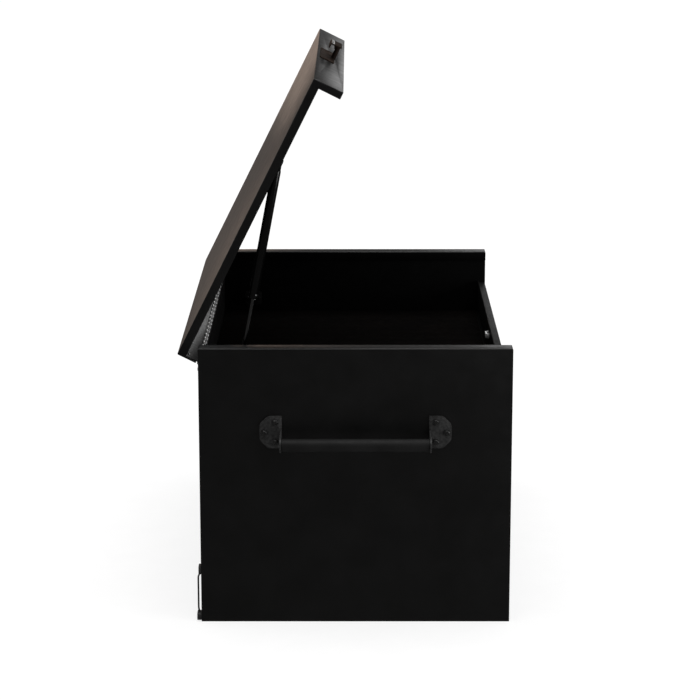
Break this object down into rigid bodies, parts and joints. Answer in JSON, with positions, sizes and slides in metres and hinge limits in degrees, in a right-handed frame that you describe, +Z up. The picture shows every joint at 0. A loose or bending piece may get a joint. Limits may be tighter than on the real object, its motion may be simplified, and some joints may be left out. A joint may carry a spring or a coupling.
{
  "type": "tool chest",
  "caption": "Black steel tool chest with a hinged lid on gas struts, an open top till, sliding drawers and tubular side handles.",
  "frame": {"origin": "middle of the chest's flat base, on the surface it stands on", "axes": "+X to the chest's right-hand side, -Y towards its front, +Z up"},
  "size_m": [1.163, 0.6526, 1.0958],
  "materials": {
    "black_paint": "satin black powder coat",
    "black_inside": "matt black powder coat",
    "textured_black": "textured black",
    "black_tube": "satin black",
    "zinc": "zinc plated",
    "dark_steel": "blackened",
    "strut_black": "gloss black",
    "rod_chrome": "dark polished",
    "mat_rubber": "matt ribbed"
  },
  "bodies": {
    "chest": {"back_panel": "black_paint", "base_panel": "black_paint", "front_top_rail": "black_paint", "handle_bolt_left_front_1": "dark_steel", "handle_bolt_left_front_2": "dark_steel", "handle_bolt_left_front_3": "dark_steel", "handle_bolt_left_rear_1": "dark_steel", "handle_bolt_left_rear_2": "dark_steel", "handle_bolt_left_rear_3": "dark_steel", "handle_bolt_right_front_1": "dark_steel", "handle_bolt_right_front_2": "dark_steel", "handle_bolt_right_front_3": "dark_steel", "handle_bolt_right_rear_1": "dark_steel", "handle_bolt_right_rear_2": "dark_steel", "handle_bolt_right_rear_3": "dark_steel", "handle_bracket_left_front": "textured_black", "handle_bracket_left_rear": "textured_black", "handle_bracket_right_front": "textured_black", "handle_bracket_right_rear": "textured_black", "handle_tube_left": "black_tube", "handle_tube_right": "black_tube", "hinge_leaf_lower": "dark_steel", "hinge_pin": "zinc", "inner_wall_left": "black_inside", "inner_wall_right": "black_inside", "side_panel_left": "black_paint", "side_panel_right": "black_paint", "slide_low_left": "zinc", "slide_low_right": "zinc", "slide_middle_left": "zinc", "slide_middle_right": "zinc", "slide_top_left": "zinc", "slide_top_right": "zinc", "staple_block_lower": "textured_black", "staple_block_upper": "textured_black", "staple_wire": "textured_black", "striker": "zinc", "strut_wall_bracket_left": "dark_steel", "strut_wall_bracket_right": "dark_steel", "till_floor": "black_inside", "till_liner": "mat_rubber"},
    "lid": {"lid_shell": "black_paint", "lid_stiffener": "black_inside", "hinge_leaf_upper": "dark_steel", "latch_base": "textured_black", "latch_nut": "zinc", "strut_lid_bracket_left": "dark_steel", "strut_lid_bracket_right": "dark_steel"},
    "latch_handle": {"latch_handle": "textured_black", "latch_cam": "zinc"},
    "strut_rod_left": {"strut_rod_left": "rod_chrome"},
    "strut_cylinder_left": {"strut_cylinder_left": "strut_black"},
    "strut_rod_right": {"strut_rod_right": "rod_chrome"},
    "strut_cylinder_right": {"strut_cylinder_right": "strut_black"},
    "drawer_low": {"drawer_low": "black_inside", "drawer_pull_low": "dark_steel"},
    "drawer_middle": {"drawer_middle": "black_inside", "drawer_pull_middle": "dark_steel"},
    "drawer_top": {"drawer_top": "black_inside", "drawer_pull_top": "dark_steel"}
  },
  "joints": [
    {"name": "lid_hinge", "type": "hinge", "parent": "chest", "child": "lid", "pos_m": [0, 0.306, 0.505], "axis": [1, 0, 0], "range_deg": [0, 63.5], "stiffness_Nm_per_rad": 9, "springref_deg": -88.81},
    {"name": "latch_turn", "type": "hinge", "parent": "lid", "child": "latch_handle", "pos_m": [0, 0.0468, 1.0585], "axis": [0, 0.4462, -0.8949], "range_deg": [0, 90]},
    {"name": "strut_pivot_left", "type": "hinge", "parent": "chest", "child": "strut_rod_left", "pos_m": [-0.447, 0.237, 0.446], "axis": [1, 0, 0], "range_deg": [0, 64.1]},
    {"name": "strut_slide_left", "type": "slide", "parent": "strut_rod_left", "child": "strut_cylinder_left", "axis": [0, -0.1856, 0.9826], "range_m": [-0.096, 0]},
    {"name": "strut_pivot_right", "type": "hinge", "parent": "chest", "child": "strut_rod_right", "pos_m": [0.447, 0.237, 0.446], "axis": [1, 0, 0], "range_deg": [0, 64.1]},
    {"name": "strut_slide_right", "type": "slide", "parent": "strut_rod_right", "child": "strut_cylinder_right", "axis": [0, -0.1856, 0.9826], "range_m": [-0.096, 0]},
    {"name": "drawer_low_slide", "type": "slide", "parent": "chest", "child": "drawer_low", "axis": [0, -1, 0], "range_m": [0, 0.45]},
    {"name": "drawer_middle_slide", "type": "slide", "parent": "chest", "child": "drawer_middle", "axis": [0, -1, 0], "range_m": [0, 0.45]},
    {"name": "drawer_top_slide", "type": "slide", "parent": "chest", "child": "drawer_top", "axis": [0, -1, 0], "range_m": [0, 0.45]}
  ],
  "couplings": [
    {"joint": "strut_pivot_left", "follows": "lid_hinge", "ratio": 1.0079},
    {"joint": "strut_slide_left", "follows": "lid_hinge", "m_per_rad": -0.08618},
    {"joint": "strut_pivot_right", "follows": "lid_hinge", "ratio": 1.0079},
    {"joint": "strut_slide_right", "follows": "lid_hinge", "m_per_rad": -0.08618}
  ]
}
